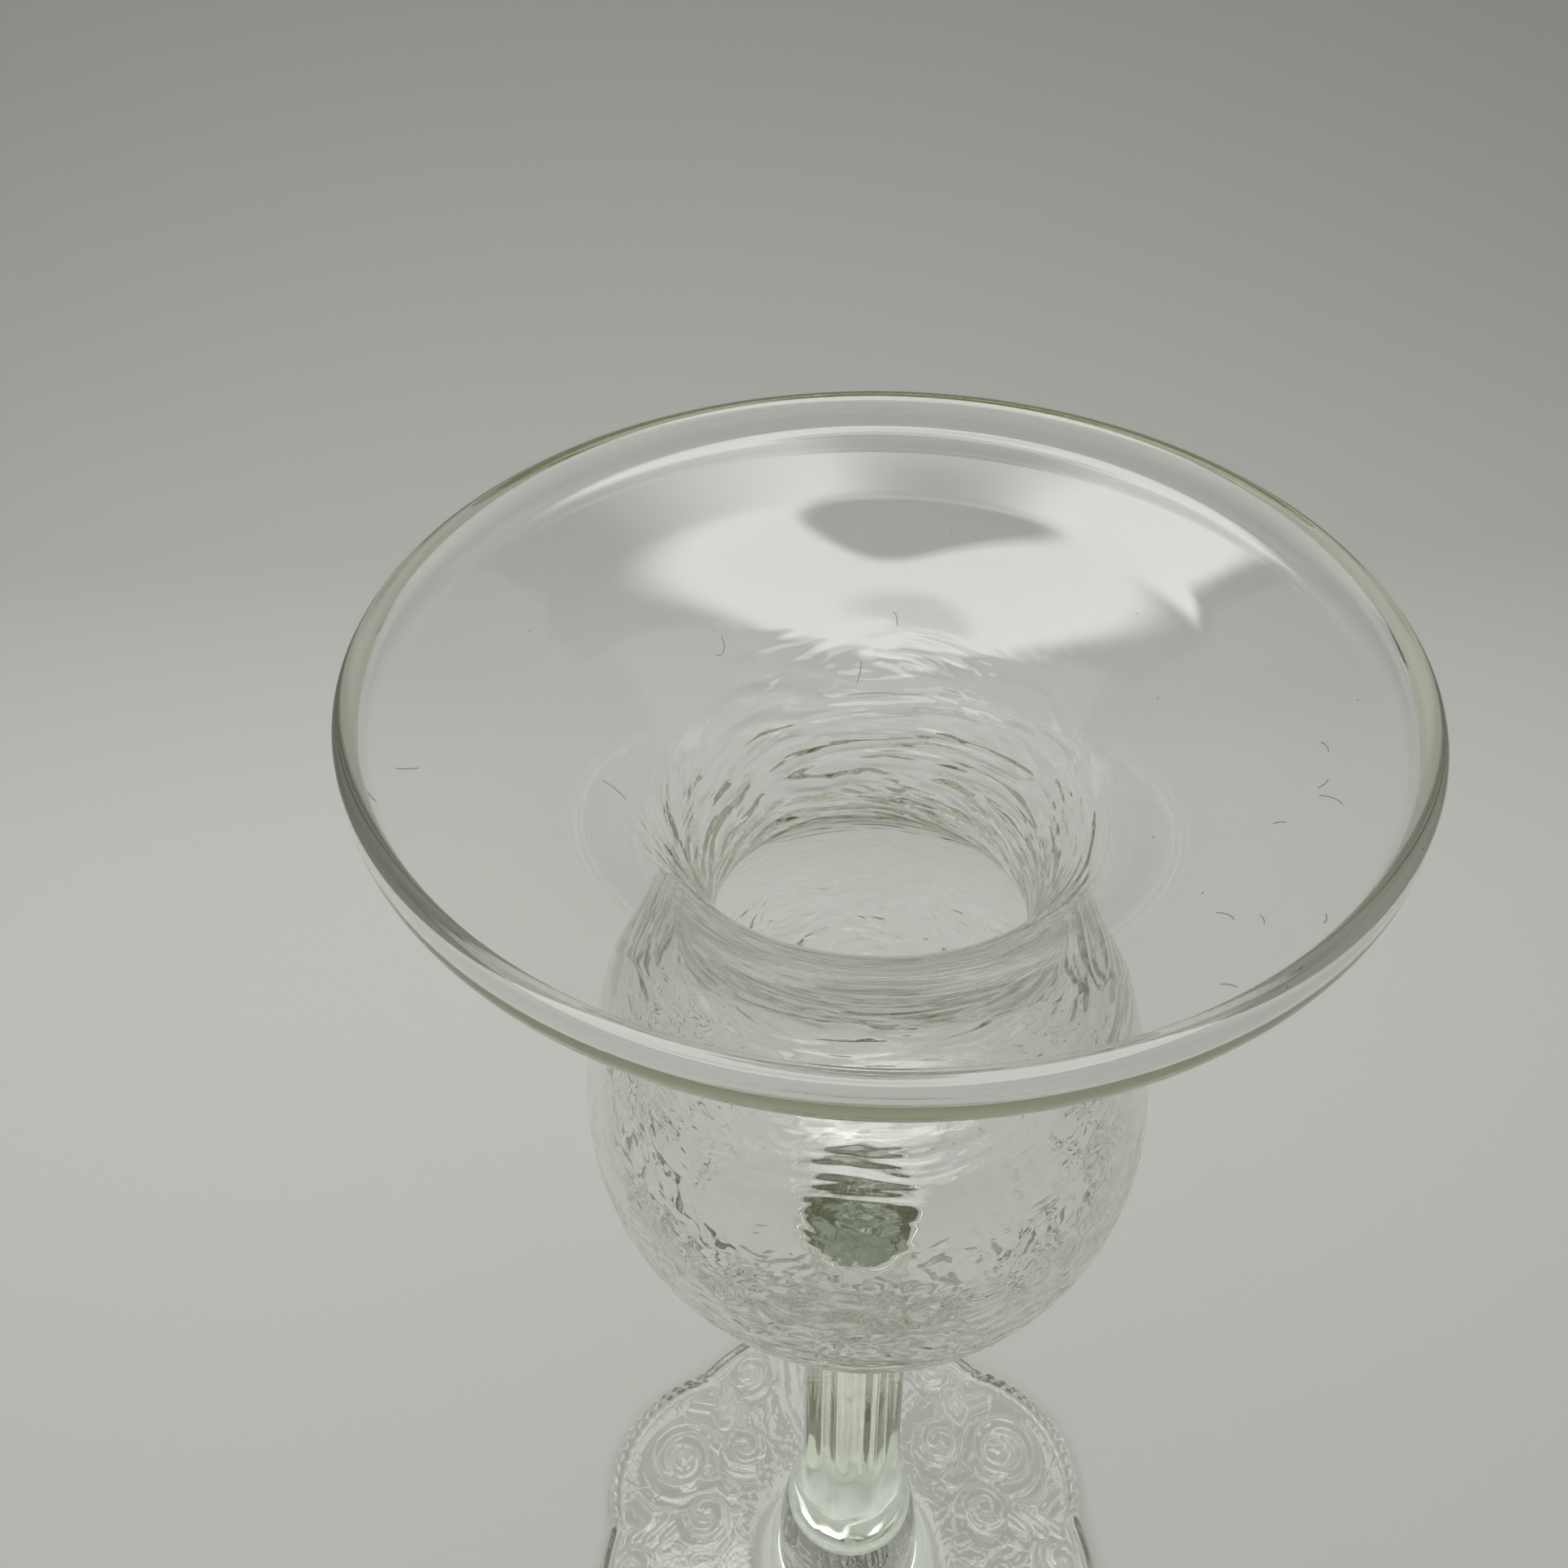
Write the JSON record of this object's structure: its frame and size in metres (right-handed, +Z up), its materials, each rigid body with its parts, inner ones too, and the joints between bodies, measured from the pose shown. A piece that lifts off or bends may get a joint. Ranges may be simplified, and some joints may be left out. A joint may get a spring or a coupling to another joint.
{
  "type": "liqueur glass",
  "caption": "Small clear liqueur glass with a wide flared mouth, narrow neck and round bulb on a fluted stem and a scalloped, relief-moulded foot.",
  "frame": {"origin": "middle of the underside of the foot, on the table", "axes": "+Z up along the stem's axis; a fan lobe of the foot points along +Y"},
  "size_m": [0.055, 0.0564, 0.126],
  "materials": {
    "clear_glass": "clear, fire-polished"
  },
  "bodies": {
    "root": {"liqueur_glass": "clear_glass"}
  },
  "joints": []
}
